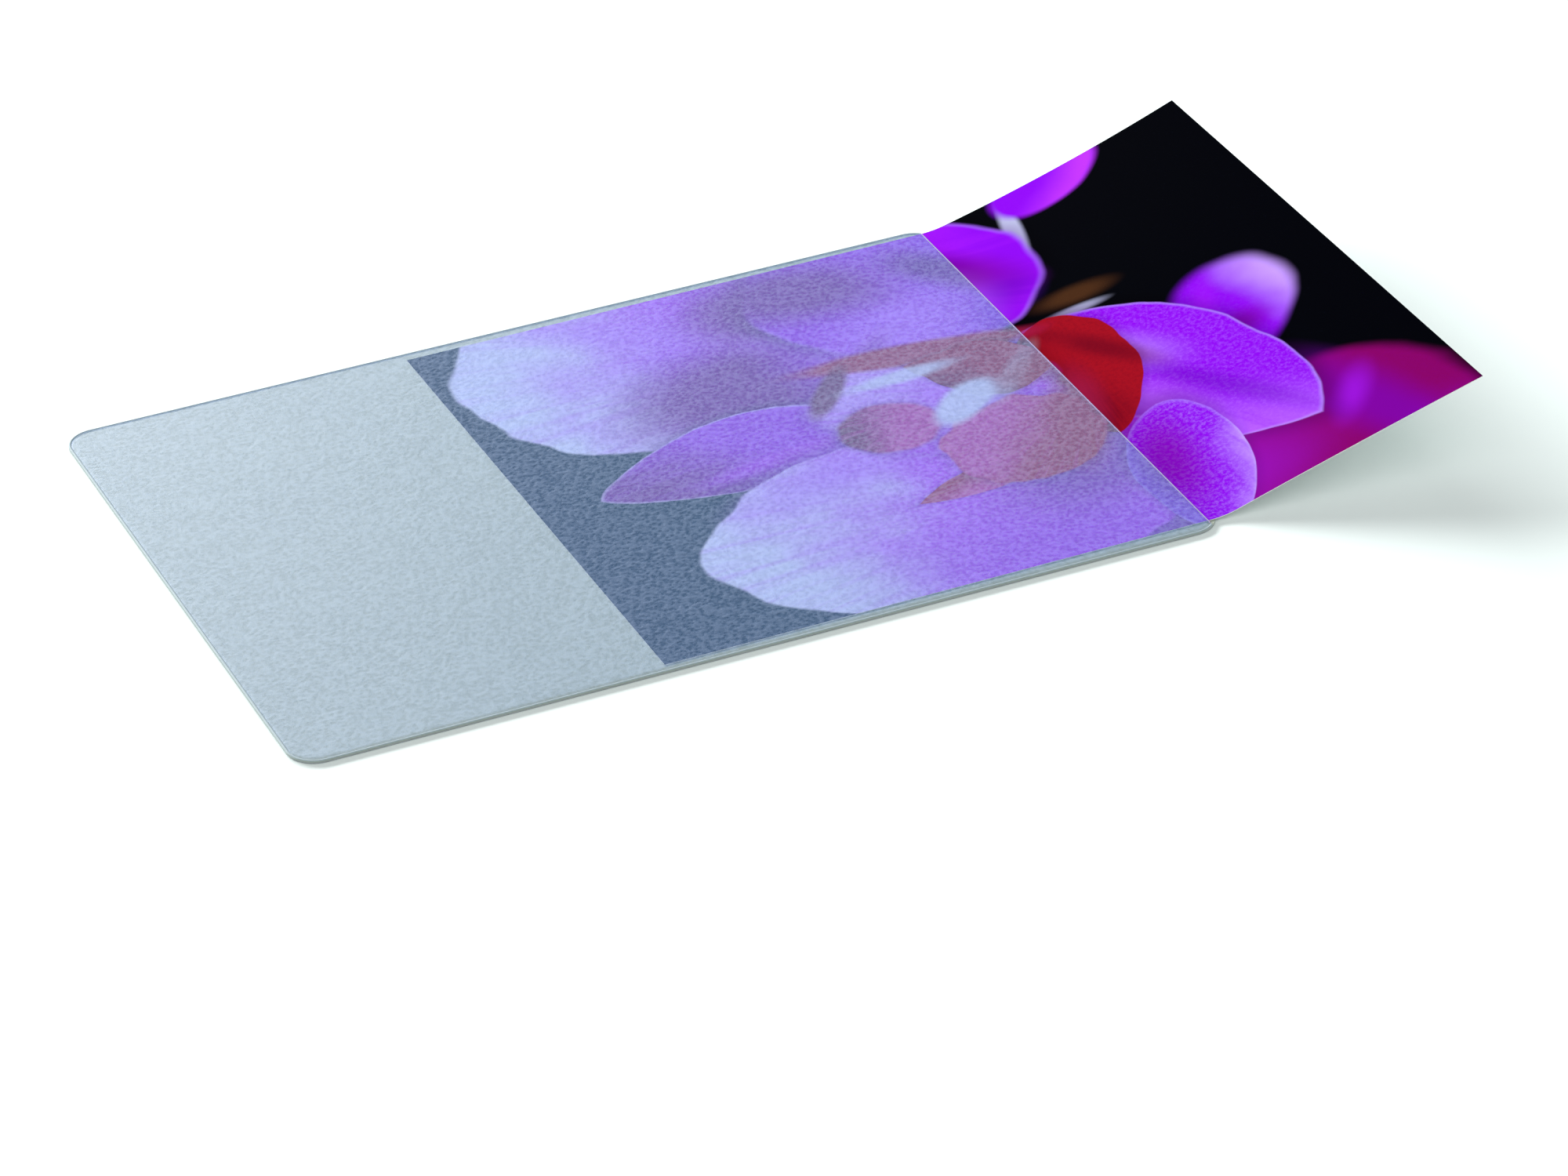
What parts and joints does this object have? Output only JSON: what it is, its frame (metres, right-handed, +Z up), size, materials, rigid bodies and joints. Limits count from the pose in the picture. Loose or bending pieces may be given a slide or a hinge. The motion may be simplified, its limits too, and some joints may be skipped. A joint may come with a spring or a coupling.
{
  "type": "photo insert desk mat",
  "caption": "Flat desk mat with rounded corners whose frosted cover film forms a pocket, open at one short side, holding a glossy photo print with a curled free end.",
  "frame": {"origin": "middle of the mat's underside, on the surface that it lies on", "axes": "+X along the mat towards the open side of its pocket, +Y from its front long side to its back one, +Z up"},
  "size_m": [0.3935, 0.218, 0.0275],
  "materials": {
    "non_slip_foam": "fine-celled matt foam",
    "grey_backing": "smooth satin sheet",
    "frosted_film": "translucent, fine embossed grain",
    "weld_rim": "smooth, pressed by the sealing tool",
    "photo_paper": "glossy front, plain white back"
  },
  "bodies": {
    "mat": {"base_pad": "non_slip_foam", "backing_sheet": "grey_backing", "cover_film": "frosted_film", "end_weld": "weld_rim", "front_weld": "weld_rim", "back_weld": "weld_rim"},
    "print": {"photo_print": "photo_paper"}
  },
  "joints": [
    {"name": "print_slide", "type": "slide", "parent": "mat", "child": "print", "axis": [1, 0, 0], "range_m": [-0.112, 0.112], "deforming": ["photo_print"]}
  ]
}
